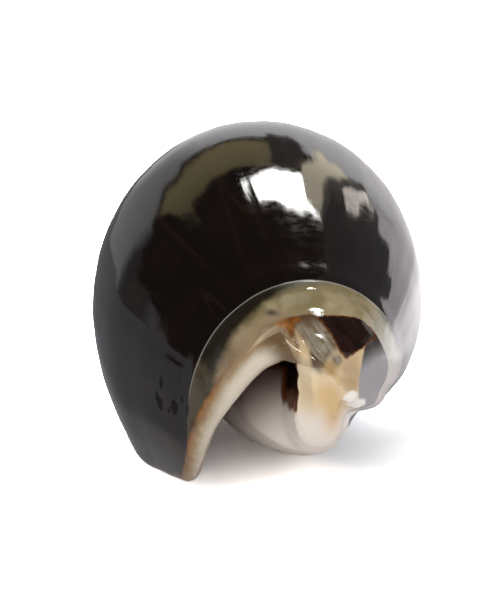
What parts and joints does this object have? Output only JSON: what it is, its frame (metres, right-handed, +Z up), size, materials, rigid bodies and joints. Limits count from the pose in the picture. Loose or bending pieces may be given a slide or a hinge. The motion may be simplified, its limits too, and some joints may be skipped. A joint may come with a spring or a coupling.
{
  "type": "olive shell",
  "caption": "Glossy elongated sea-snail shell with a short coiled spire, a long narrow aperture, a notched front end and a folded columella.",
  "frame": {"origin": "on the surface that the shell lies on, under the middle of its bounding box", "axes": "+Z up, +Y along the shell from its notched front end towards the spire, +X to the right seen from the front end, away from the outer lip"},
  "size_m": [0.02, 0.0418, 0.018],
  "materials": {
    "shell": "gloss"
  },
  "bodies": {
    "root": {"shell": "shell"}
  },
  "joints": []
}
